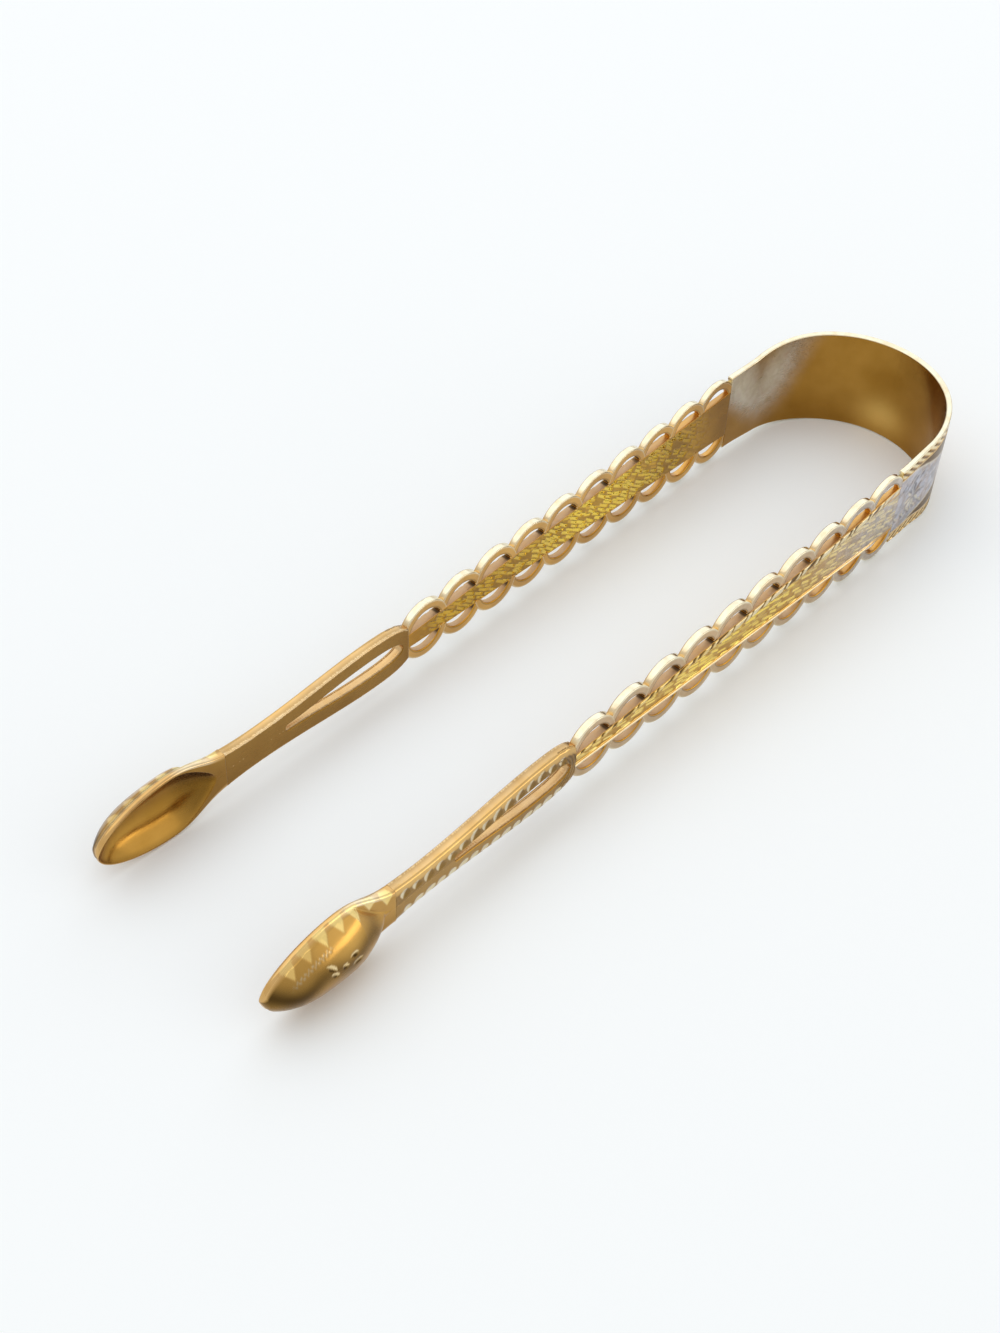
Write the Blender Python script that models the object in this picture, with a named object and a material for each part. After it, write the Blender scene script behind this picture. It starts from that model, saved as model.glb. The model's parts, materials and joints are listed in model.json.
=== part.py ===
"""Sugar tongs: a sprung bow, two pierced arms, two slotted shanks and two bowls, soldered end to end.

The tongs lie on one side. In the tongs' own frame X runs from the bowls to the bow, Y across the gap and
Z across the strap, with X = 0 half way along the pierced arms. All sizes are in metres.
"""

import math

import bmesh
import bpy
from mathutils import Matrix, Vector
from mathutils.geometry import interpolate_bezier

MM = 0.001

# Pierced arm: ten scallops along each edge of a tapering panel.
LOBES = 10
LOBE_PITCH = 6.75 * MM
LOBE_RISE = 1.7 * MM            # crest of a scallop above the line through its two notches
ARM_HALF_AT_SHANK = 2.65 * MM   # half width at the narrow end, notch level
ARM_HALF_AT_BOW = 5.45 * MM     # half width at the wide end, notch level
ARM_THICK = 1.1 * MM
RIM = 1.25 * MM                 # metal left round each pierced opening
BAND_DROP = 1.55 * MM           # the middle band's border below notch level
RIB_RISE = 0.25 * MM            # the raised band on the outer face
RIB_INSET = 0.2 * MM            # the raised band inside the band's border
ARC_STEPS = 10

# Bow: a half circle with two straight legs.
BOW_RADIUS = 14.4 * MM          # inner face
BOW_CENTRE_X = 41.0 * MM
BOW_THICK_TOP = 1.0 * MM
BOW_THICK_LEG = 0.8 * MM
BOW_WIDTH = 15.86 * MM
BOW_FULL_X = 53.5 * MM          # the strap has its full width from here to the top
BOW_LEG_HALF = 6.4 * MM         # half width where a leg meets its arm
BOW_STEPS = 48

# Slotted shank.
SHANK_THICK = 1.6 * MM
SHANK_LENGTH = 30.4 * MM
LOOP_HALF = 3.75 * MM
LOOP_X = 6.0 * MM               # widest place of the loop, from the arm
WAIST_HALF = 2.52 * MM
WAIST_X = 25.6 * MM
HEEL_HALF = 2.8 * MM
SLOT_HALF = 1.5 * MM
SLOT_START = 0.9 * MM
SLOT_WIDE_X = 6.0 * MM
SLOT_END = 21.0 * MM
SLOT_TAIL_HALF = 0.5 * MM       # the slot's blunt end by the waist

# Bowl.
BOWL_LENGTH = 19.0 * MM
BOWL_HALF = 5.25 * MM
BOWL_WIDE_X = 8.2 * MM          # widest place, from the shank
BOWL_HOLLOW = 2.6 * MM
BOWL_HOLLOW_START = 1.6 * MM
BOWL_RIM_THICK = 0.85 * MM
BOWL_FLOOR_THICK = 1.25 * MM
BOWL_RIM_WIDE = 0.55 * MM
BOWL_TIP_HALF = 0.7 * MM
BOWL_STEPS = 13

# How the pieces stand to each other.
SOLDER_GAP = 0.1 * MM
GAP_AT_SHANK = 13.5 * MM        # mid-plane to the shank's inner face at the arm
GAP_AT_TIP = 13.6 * MM
ARM_SEAT_AT_BOW = 0.15 * MM     # the arm's inner face lies this far outside the bow's
ARM_SEAT_AT_SHANK = 0.25 * MM   # and this far outside the shank's
HINGE_X = 44.7 * MM             # the point that an arm swings about as the bow flexes
HINGE_Y = 11.9 * MM

ARM_LENGTH = LOBES * LOBE_PITCH
ARM_BOW_X = ARM_LENGTH / 2
ARM_SHANK_X = -ARM_LENGTH / 2
BOWL_X = ARM_SHANK_X - SOLDER_GAP - SHANK_LENGTH - SOLDER_GAP
TIP_X = BOWL_X - BOWL_LENGTH
APEX_X = BOW_CENTRE_X + BOW_RADIUS + BOW_THICK_TOP
ARM_GAP_AT_BOW = BOW_RADIUS + ARM_SEAT_AT_BOW
ARM_GAP_AT_SHANK = GAP_AT_SHANK + ARM_SEAT_AT_SHANK
ARM_TOE = math.atan((ARM_GAP_AT_BOW - ARM_GAP_AT_SHANK) / ARM_LENGTH)
SHANK_FLARE = math.atan((GAP_AT_TIP - GAP_AT_SHANK) / (ARM_SHANK_X - TIP_X))

# On its side the tongs touch the table with the bow, where it reaches full width, and with both bowls.
REST_SLOPE = (BOW_WIDTH / 2 - BOWL_HALF) / (BOW_FULL_X - BOWL_X + BOWL_WIDE_X)
REST_TILT = math.atan(REST_SLOPE)

for leftover in list(bpy.data.objects):
    bpy.data.objects.remove(leftover)

tongs = bpy.data.collections.new("sugar_tongs")
cutters = bpy.data.collections.new("cutters")
for group in (tongs, cutters):
    bpy.context.scene.collection.children.link(group)


def material(name, colour, roughness):
    made = bpy.data.materials.new(name)
    made.use_nodes = True
    shader = made.node_tree.nodes["Principled BSDF"]
    shader.inputs["Base Color"].default_value = (*colour, 1.0)
    shader.inputs["Metallic"].default_value = 1.0
    shader.inputs["Roughness"].default_value = roughness
    return made


def empty(name, parent, place):
    made = bpy.data.objects.new(name, None)
    made.empty_display_size = 5 * MM
    made.parent = parent
    made.location = place
    tongs.objects.link(made)
    return made


def bezier(corners, steps):
    """Points along one cubic from four (x, z) control points."""
    spots = [Vector((x, z, 0.0)) for x, z in corners]
    path = interpolate_bezier(spots[0], spots[1], spots[2], spots[3], steps + 1)
    return [(spot.x, spot.y) for spot in path]


def joined(*paths):
    """One run of points from several, with the shared ends written once."""
    run = list(paths[0])
    for path in paths[1:]:
        run += path[1:]
    return run


def mirrored(path):
    """The same run below the middle line, in the opposite order."""
    return [(x, -z) for x, z in reversed(path)]


def closed_mesh(name, shape):
    bmesh.ops.remove_doubles(shape, verts=shape.verts, dist=0.001 * MM)
    bmesh.ops.recalc_face_normals(shape, faces=shape.faces)
    mesh = bpy.data.meshes.new(name)
    shape.to_mesh(mesh)
    shape.free()
    return mesh


def filled(name, outlines, extrude, frame):
    """A filled outline with holes, extruded both ways and turned into place by a frame.

    The curve is drawn in millimetres: the fill loses details under about 0.03 units.
    """
    curve = bpy.data.curves.new(name, "CURVE")
    curve.dimensions = "2D"
    curve.fill_mode = "BOTH"
    curve.extrude = extrude / MM
    for outline in outlines:
        spline = curve.splines.new("POLY")
        spline.points.add(len(outline) - 1)
        for point, (x, z) in zip(spline.points, outline):
            point.co = (x / MM, z / MM, 0.0, 1.0)
        spline.use_cyclic_u = True
    drawn = bpy.data.objects.new(name, curve)
    cutters.objects.link(drawn)
    graph = bpy.context.evaluated_depsgraph_get()
    flat = bpy.data.meshes.new_from_object(drawn.evaluated_get(graph))
    bpy.data.objects.remove(drawn)
    flat.transform(frame @ Matrix.Scale(MM, 4))
    shape = bmesh.new()
    shape.from_mesh(flat)
    return closed_mesh(name, shape)


def plate(name, outlines, inner, outer, side):
    """A plate drawn in X and Z, from one distance outside the inner face to another."""
    frame = Matrix((
        (1, 0, 0, 0),
        (0, 0, side, side * (inner + outer) / 2),
        (0, 1, 0, 0),
        (0, 0, 0, 1),
    ))
    return filled(name, outlines, (outer - inner) / 2, frame)


def piece(name, mesh, parent, place, turn=0.0, finish=None):
    made = bpy.data.objects.new(name, mesh)
    made.parent = parent
    made.location = place
    made.rotation_euler = (0.0, 0.0, turn)
    mesh.materials.append(finish)
    tongs.objects.link(made)
    return made


def form(name, mesh, parent):
    """A shape that only cuts or adds to a piece."""
    made = bpy.data.objects.new(name, mesh)
    made.parent = parent
    made.display_type = "WIRE"
    made.hide_render = True
    cutters.objects.link(made)
    return made


def combine(target, tool, operation):
    step = target.modifiers.new(tool.name, "BOOLEAN")
    step.operation = operation
    step.solver = "EXACT"
    step.object = tool


def notch_half(x):
    """Half width of the panel at notch level, x from the middle of the arm."""
    share = (x - ARM_SHANK_X) / ARM_LENGTH
    return ARM_HALF_AT_SHANK + share * (ARM_HALF_AT_BOW - ARM_HALF_AT_SHANK)


LOBE_RADIUS = (LOBE_PITCH ** 2 / 4 + LOBE_RISE ** 2) / (2 * LOBE_RISE)
LOBE_CENTRE = LOBE_RISE - LOBE_RADIUS      # height of a scallop's centre over its notch line


def lobe_arc(index, radius, level, steps):
    """An arc round one scallop's centre, from a height over the notch line back to the same height."""
    middle = ARM_SHANK_X + (index + 0.5) * LOBE_PITCH
    slope = (notch_half(LOBE_PITCH) - notch_half(0.0)) / LOBE_PITCH
    reach = math.acos((level - LOBE_CENTRE) / radius)
    run = []
    for k in range(steps + 1):
        angle = reach * (1 - 2 * k / steps)
        x = middle - radius * math.sin(angle)
        lean = slope * (x - middle)
        run.append((x, notch_half(middle) + LOBE_CENTRE + radius * math.cos(angle) + lean))
    return run


def arm_outlines():
    edge = joined(*[lobe_arc(k, LOBE_RADIUS, 0.0, ARC_STEPS) for k in range(LOBES)])
    holes = [lobe_arc(k, LOBE_RADIUS - RIM, -BAND_DROP, ARC_STEPS) for k in range(LOBES)]
    return [edge + mirrored(edge)] + holes + [mirrored(hole) for hole in holes]


def rib_outline():
    drop = BAND_DROP + RIB_INSET
    ends = [(x, notch_half(x) - drop) for x in (ARM_SHANK_X + RIB_INSET, ARM_BOW_X - RIB_INSET)]
    return ends + mirrored(ends)


def shank_outlines():
    neck = bezier(((0, ARM_HALF_AT_SHANK), (-1.2 * MM, LOOP_HALF * 0.93),
                   (-LOOP_X * 0.45, LOOP_HALF), (-LOOP_X, LOOP_HALF)), 8)
    taper = bezier(((-LOOP_X, LOOP_HALF), (-LOOP_X * 2, LOOP_HALF),
                    (-WAIST_X * 0.72, WAIST_HALF), (-WAIST_X, WAIST_HALF)), 12)
    heel = bezier(((-WAIST_X, WAIST_HALF), (-WAIST_X - 1.6 * MM, WAIST_HALF),
                   (-SHANK_LENGTH + 1.4 * MM, HEEL_HALF - 0.18 * MM), (-SHANK_LENGTH, HEEL_HALF)), 4)
    edge = joined(neck, taper, heel)
    crown = bezier(((-SLOT_START, 0), (-SLOT_START, SLOT_HALF * 0.75),
                    (-SLOT_WIDE_X * 0.5, SLOT_HALF), (-SLOT_WIDE_X, SLOT_HALF)), 8)
    tail_x = -SLOT_END + SLOT_TAIL_HALF
    tail = bezier(((-SLOT_WIDE_X, SLOT_HALF), (-SLOT_WIDE_X * 2.1, SLOT_HALF),
                   (-SLOT_END * 0.75, SLOT_TAIL_HALF * 1.2), (tail_x, SLOT_TAIL_HALF)), 10)
    blunt = bezier(((tail_x, SLOT_TAIL_HALF), (tail_x - SLOT_TAIL_HALF * 0.55, SLOT_TAIL_HALF),
                    (-SLOT_END, SLOT_TAIL_HALF * 0.55), (-SLOT_END, 0)), 4)
    slot = joined(crown, tail, blunt)
    return [edge + mirrored(edge), slot + mirrored(slot)[1:-1]]


def bowl_mesh(name, side):
    """Crescent sections along the bowl, from the shank's flat end to the tip."""
    shoulder = bezier(((0, HEEL_HALF), (-2.8 * MM, HEEL_HALF + 0.3 * MM),
                       (-BOWL_WIDE_X + 3.7 * MM, BOWL_HALF), (-BOWL_WIDE_X, BOWL_HALF)), BOWL_STEPS)
    nose = bezier(((-BOWL_WIDE_X, BOWL_HALF), (-BOWL_WIDE_X - 4.7 * MM, BOWL_HALF),
                   (-BOWL_LENGTH + 0.4 * MM, BOWL_HALF * 0.57), (-BOWL_LENGTH, BOWL_TIP_HALF)), BOWL_STEPS)
    shape = bmesh.new()
    rings = []
    for x, half in joined(shoulder, nose):
        along = min(max((-x - BOWL_HOLLOW_START) / (BOWL_LENGTH - BOWL_HOLLOW_START), 0.0), 1.0)
        hollow = BOWL_HOLLOW * (1 - abs(2 * along - 1) ** 2.4)
        fade = min(-x / (0.3 * BOWL_LENGTH), 1.0)
        rim = SHANK_THICK + (BOWL_RIM_THICK - SHANK_THICK) * fade
        swell = hollow + (BOWL_FLOOR_THICK - BOWL_RIM_THICK) * fade
        lip = max(half - BOWL_RIM_WIDE, 0.6 * half)
        ring = []
        for k in range(BOWL_STEPS + 1):
            z = half * math.sin(math.pi * (k / BOWL_STEPS - 0.5))
            ring.append((x, side * hollow * max(1 - (z / lip) ** 2, 0.0), z))
        for k in range(BOWL_STEPS + 1):
            z = half * math.sin(math.pi * (0.5 - k / BOWL_STEPS))
            ring.append((x, side * (rim + swell * (1 - (z / half) ** 2)), z))
        rings.append([shape.verts.new(spot) for spot in ring])
    for first, second in zip(rings, rings[1:]):
        for k in range(len(first)):
            after = (k + 1) % len(first)
            shape.faces.new((first[k], first[after], second[after], second[k]))
    shape.faces.new(rings[0])
    shape.faces.new(rings[-1])
    bmesh.ops.triangulate(shape, faces=shape.faces)
    return closed_mesh(name, shape)


def bow_thick(turn):
    """Thickness at an angle from the top of the bow: fullest at the top, thinnest at the legs."""
    return BOW_THICK_LEG + (BOW_THICK_TOP - BOW_THICK_LEG) * math.cos(turn) ** 2


def bow_plan():
    leg_x = ARM_BOW_X + SOLDER_GAP
    inner, outer = [(leg_x, BOW_RADIUS)], [(leg_x, BOW_RADIUS + BOW_THICK_LEG)]
    for k in range(BOW_STEPS + 1):
        turn = math.pi * (0.5 - k / BOW_STEPS)
        for run, reach in ((inner, BOW_RADIUS), (outer, BOW_RADIUS + bow_thick(turn))):
            run.append((BOW_CENTRE_X + reach * math.cos(turn), reach * math.sin(turn)))
    inner.append((leg_x, -BOW_RADIUS))
    outer.append((leg_x, -BOW_RADIUS - BOW_THICK_LEG))
    return inner + outer[::-1]


def bow_side():
    """The strap's width seen along Y: narrow at the legs, full from BOW_FULL_X on."""
    leg_x = ARM_BOW_X
    flare = bezier(((leg_x, BOW_LEG_HALF), (leg_x + 6.75 * MM, BOW_LEG_HALF + 0.05 * MM),
                    (BOW_FULL_X - 6.8 * MM, BOW_WIDTH / 2), (BOW_FULL_X, BOW_WIDTH / 2)), 12)
    edge = flare + [(APEX_X + 2 * MM, BOW_WIDTH / 2)]
    return edge + mirrored(edge)


rest = empty("tongs_on_side", None, (
    -(APEX_X * math.cos(REST_TILT) + BOW_WIDTH / 2 * math.sin(REST_TILT) + TIP_X * math.cos(REST_TILT)) / 2,
    0.0,
    BOW_WIDTH / 2 * math.cos(REST_TILT) - BOW_FULL_X * math.sin(REST_TILT),
))
rest.rotation_euler = (0.0, -REST_TILT, 0.0)

bow = piece("bow_spring", filled("bow_spring", [bow_plan()], BOW_WIDTH, Matrix()), rest, (0, 0, 0),
            finish=material("gilt_bow", (0.62, 0.42, 0.15), 0.22))
combine(bow, form("bow_side_form", plate("bow_side_form", [bow_side()], -2 * BOW_RADIUS, 2 * BOW_RADIUS, 1),
                  rest), "INTERSECT")

for hand, side in (("left", 1), ("right", -1)):
    hinge_spot = Vector((HINGE_X, side * HINGE_Y, 0.0))
    hinge = empty(f"{hand}_arm_hinge", rest, hinge_spot)
    arm_spot = Vector((0.0, side * (ARM_GAP_AT_BOW + ARM_GAP_AT_SHANK) / 2, 0.0))
    shank_spot = Vector((ARM_SHANK_X - SOLDER_GAP, side * GAP_AT_SHANK, 0.0))
    bowl_spot = Vector((BOWL_X, side * (GAP_AT_SHANK + SHANK_LENGTH * math.tan(SHANK_FLARE)), 0.0))

    arm = piece(f"{hand}_pierced_arm", plate(f"{hand}_pierced_arm", arm_outlines(), 0.0, ARM_THICK, side),
                hinge, arm_spot - hinge_spot, side * ARM_TOE,
                material(f"gilt_{hand}_arm", (0.60, 0.40, 0.14), 0.25))
    rib = form(f"{hand}_rib_form",
               plate(f"{hand}_rib_form", [rib_outline()], ARM_THICK / 2, ARM_THICK + RIB_RISE, side), arm)
    combine(arm, rib, "UNION")

    piece(f"{hand}_slotted_shank",
          plate(f"{hand}_slotted_shank", shank_outlines(), 0.0, SHANK_THICK, side),
          hinge, shank_spot - hinge_spot, -side * SHANK_FLARE,
          material(f"gilt_{hand}_shank", (0.60, 0.41, 0.15), 0.25))

    piece(f"{hand}_bowl", bowl_mesh(f"{hand}_bowl", side),
          hinge, bowl_spot - hinge_spot, -side * SHANK_FLARE,
          material(f"gilt_{hand}_bowl", (0.63, 0.43, 0.16), 0.2))
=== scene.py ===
import json
import math

import bmesh
import bpy
import numpy as np
from mathutils import Matrix, Vector


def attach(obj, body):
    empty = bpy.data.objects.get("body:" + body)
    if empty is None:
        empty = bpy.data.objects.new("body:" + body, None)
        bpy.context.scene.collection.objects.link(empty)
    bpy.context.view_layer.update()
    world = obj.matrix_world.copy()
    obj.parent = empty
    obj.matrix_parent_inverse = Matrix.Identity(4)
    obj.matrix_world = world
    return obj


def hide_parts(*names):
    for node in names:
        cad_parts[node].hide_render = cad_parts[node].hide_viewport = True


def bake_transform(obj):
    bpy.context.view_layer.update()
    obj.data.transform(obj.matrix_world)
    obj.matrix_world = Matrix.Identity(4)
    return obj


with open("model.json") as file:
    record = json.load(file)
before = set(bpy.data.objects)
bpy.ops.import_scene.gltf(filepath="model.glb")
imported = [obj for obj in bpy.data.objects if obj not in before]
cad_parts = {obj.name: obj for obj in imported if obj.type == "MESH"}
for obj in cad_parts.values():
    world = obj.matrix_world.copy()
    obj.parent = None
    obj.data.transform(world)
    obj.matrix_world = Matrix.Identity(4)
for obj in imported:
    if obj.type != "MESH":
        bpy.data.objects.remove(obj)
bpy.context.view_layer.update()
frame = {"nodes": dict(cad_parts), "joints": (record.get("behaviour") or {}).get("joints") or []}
mm = 0.001
print("frame loaded:", sorted(frame["nodes"]))

# The tongs' own frame, in millimetres: x runs from the bowls to the bow, y across the gap and z across the
# strap, with x = 0 half way along the pierced arms. The record's hinge says how that frame lies on the table.
placing = {
    "hinge": np.array([44.7, 11.9, 0.0]),     # the left hinge in the tongs' own frame
    "armAtBow": 14.55, "armAtShank": 13.75,   # mid-plane to the arm's inner face, at its two ends
    "gapAtShank": 13.5, "gapAtTip": 13.6,     # the same for the shank and the bowl
    "tipX": -83.35,
    "lap": 0.06,     # each piece runs this far into the solder seam
}
hingeJoint = next(joint for joint in frame["joints"] if joint["name"] == "left_squeeze")
upRow = np.array(hingeJoint["axis"], float)
upRow = upRow / np.linalg.norm(upRow)
acrossRow = np.array([0.0, 1.0, 0.0])
turnToRow = np.stack([np.cross(acrossRow, upRow), acrossRow, upRow])
hingeRow = np.array(hingeJoint["pos_m"], float)


def toRow(points):
    # millimetres in the tongs' frame, turned by the rest tilt and hung on the hinge
    return (points - placing["hinge"]) * mm @ turnToRow + hingeRow


def handOf(side):
    # +y is the left
    return "left" if side > 0 else "right"


def bezierRun(corners, steps):
    # a cubic over four control points, as (x, height) pairs
    t = np.linspace(0.0, 1.0, steps + 1)[:, None]
    a, b, c, d = (np.array(corner, float) for corner in corners)
    return (1 - t) ** 3 * a + 3 * (1 - t) ** 2 * t * b + 3 * (1 - t) * t ** 2 * c + t ** 3 * d


def heightOver(runs, x):
    # the height of joined curves at each x
    path = np.concatenate(runs)
    order = np.argsort(path[:, 0], kind="stable")
    return np.interp(x, path[order, 0], path[order, 1])


def smooth(low, high, value):
    # 0 below low, 1 above high, eased between
    t = np.clip((value - low) / (high - low), 0.0, 1.0)
    return t * t * (3 - 2 * t)


def bell(value, centre, wide):
    # 1 at the centre, falling off on both sides as e to the minus square
    return np.exp(-((value - centre) / wide) ** 2)


def saw(value):
    # 0 on every whole number and 1 half way between
    return 2 * np.abs(value - np.round(value))


def chance(i, j, seed):
    # a number between 0 and 1 for each cell of a grid
    value = np.sin(i * 12.9898 + j * 78.233 + seed * 37.719) * 43758.5453
    return value - np.floor(value)


def graverCuts(x, z, cuts):
    # V-shaped leaf cuts: depth times what is left of 1 - along squared - across, with lean in degrees.
    # tilt tells the two facets of a cut apart, from -1 at one side to 1 at the other.
    deep = np.zeros(np.broadcast(x, z).shape)
    tilt = np.zeros(deep.shape)
    for cx, cz, length, wide, lean, depth in cuts:
        c, s = math.cos(math.radians(lean)), math.sin(math.radians(lean))
        along = ((x - cx) * c + (z - cz) * s) / (length / 2)
        over = ((z - cz) * c - (x - cx) * s) / (wide / 2)
        here = depth * np.clip(1 - along ** 2 - np.abs(over), 0, None)
        tilt = np.where(here > deep, over, tilt)
        deep = np.maximum(deep, here)
    return deep, tilt


def ringOf(corner, edgeBand, edgeSteps, midSteps, thinSteps, cornerSteps):
    # A rounded rectangle in the width z and the thickness n, walked once round. Each point is
    # z = a * half + b and n = c * thick + d, so one ring serves any half width and thickness.
    # part is 0 on the inner face, 4 on the outer face, 2 and 6 on the sides, odd on the corners.
    bend = np.linspace(0.0, math.pi / 2, cornerSteps + 1)[1:-1]
    edge = np.linspace(corner, edgeBand, edgeSteps + 1)
    middle = np.linspace(-1.0, 1.0, midSteps + 1)[1:-1]
    thin = np.linspace(0.0, 1.0, thinSteps + 1)
    a = np.concatenate([-np.ones_like(edge), middle, np.ones_like(edge)])
    b = np.concatenate([edge, -middle * edgeBand, -edge[::-1]])
    zero, one = np.zeros_like, np.ones_like
    rows = [
        (a, b, zero(a), zero(a)),
        (one(bend), corner * (np.sin(bend) - 1), zero(bend), corner * (1 - np.cos(bend))),
        (one(thin), zero(thin), thin, corner * (1 - 2 * thin)),
        (one(bend), corner * (np.cos(bend) - 1), one(bend), corner * (np.sin(bend) - 1)),
        (a[::-1], b[::-1], one(a), zero(a)),
        (-one(bend), corner * (1 - np.sin(bend)), one(bend), corner * (np.cos(bend) - 1)),
        (-one(thin), zero(thin), 1 - thin, corner * (2 * thin - 1)),
        (-one(bend), corner * (1 - np.cos(bend)), zero(bend), corner * (1 - np.sin(bend))),
    ]
    ring = {key: np.concatenate([row[k] for row in rows]) for k, key in enumerate("abcd")}
    ring["part"] = np.concatenate([np.full(len(row[0]), k) for k, row in enumerate(rows)])
    return ring


tagNames = ("rub", "film", "sawn", "toned", "bright")     # what the finish reads from each point


def newStore():
    # the grids of one piece, gathered before its mesh is made
    return {"points": [], "quads": [], "caps": [], "tags": {name: [] for name in tagNames}, "count": 0}


def addTube(store, points, tags, caps=True, keep=None):
    # points[i, j] on a grid that closes on itself in j, with a flat face over each end
    rows, cols = points.shape[:2]
    index = np.arange(rows * cols).reshape(rows, cols) + store["count"]
    after = np.roll(index, -1, axis=1)
    quads = np.stack([index[:-1], after[:-1], after[1:], index[1:]], axis=-1)
    store["points"].append(points.reshape(-1, 3))
    store["quads"].append((quads if keep is None else quads[keep]).reshape(-1, 4))
    if caps:
        store["caps"] += [index[0].tolist(), index[-1, ::-1].tolist()]
    for name in tagNames:
        store["tags"][name].append(np.broadcast_to(tags.get(name, 0.0), (rows, cols)).reshape(-1))
    store["count"] += rows * cols


def makePiece(name, store, material, node, body=None, bend=None):
    # one mesh from all the store's grids, merged, turned outwards and smooth apart from its end faces
    mesh = bpy.data.meshes.new(name)
    quads = np.concatenate(store["quads"])
    mesh.from_pydata(toRow(np.concatenate(store["points"])).tolist(), [], quads.tolist() + store["caps"])
    for tag, values in store["tags"].items():
        layer = mesh.attributes.new(tag, "FLOAT", "POINT")
        layer.data.foreach_set("value", np.clip(np.concatenate(values), 0, 1).astype(np.float32))
    mesh.polygons.foreach_set("use_smooth", np.arange(len(mesh.polygons)) < len(quads))
    shape = bmesh.new()
    shape.from_mesh(mesh)
    bmesh.ops.remove_doubles(shape, verts=shape.verts, dist=0.002 * mm)
    bmesh.ops.recalc_face_normals(shape, faces=shape.faces)
    shape.to_mesh(mesh)
    shape.free()
    mesh.materials.append(material)
    made = bpy.data.objects.new(name, mesh)
    bpy.context.scene.collection.objects.link(made)
    if bend:
        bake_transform(made)
    else:
        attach(made, body)
    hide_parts(node)
    print("piece", name, len(mesh.polygons), "faces")
    return made


def toLinear(hexColour):
    # sRGB hex to linear red, green and blue, with an alpha of 1
    parts = [int(hexColour[k:k + 2], 16) / 255 for k in (1, 3, 5)]
    return tuple(p / 12.92 if p <= 0.04045 else ((p + 0.055) / 1.055) ** 2.4 for p in parts) + (1.0,)


def addNode(tree, kind, inputs=None, **settings):
    # inputs hold plain values, or (node, socket) pairs to link
    node = tree.nodes.new("ShaderNode" + kind)
    for key, value in settings.items():
        setattr(node, key, value)
    for key, value in (inputs or {}).items():
        if isinstance(value, tuple) and isinstance(value[0], bpy.types.Node):
            tree.links.new(value[0].outputs[value[1]], node.inputs[key])
        else:
            node.inputs[key].default_value = value
    return node


giltLook = {
    "gold": "#dca74e",        # fire gilding over silver, mellowed
    "deepGold": "#c08c36",    # where the gilding is thick and toned
    "rubbedAndHighlight": "#ece3c6",      # gilding worn thin, silver coming through; also painted highlights
    "toned": "#8c93a6", "tonedPale": "#bec5da",      # bare silver, mottled with a bluish tone
    "film": "#3c2a12",        # brown film in the cuts, and the colour of painted shade
    "bright": "#fce08c",      # burnished cut facets, and painted glints and glow
    "sawn": "#d0b28e",        # unpolished metal in the sawn openings
    "cloud": 9.0, "speck": 1.3, "mottle": 1.5, "hairline": 0.3,     # mm
    "roughness": 0.17, "roughnessVary": 0.05,
    "sawnRoughness": 0.45, "tonedRoughness": 0.16, "filmAndShadeRoughness": 0.16,     # added where each lies
    "hairlineBump": 0.06, "hairlineDeep": 0.02,
}
# the cast arms are gilded thicker, their cuts are sharper and their painted glints yellower
chasedLook = dict(giltLook, gold="#dca43c", deepGold="#bd882e", bright="#ffdf58", cloud=6.0, hairline=0.2)


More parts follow.
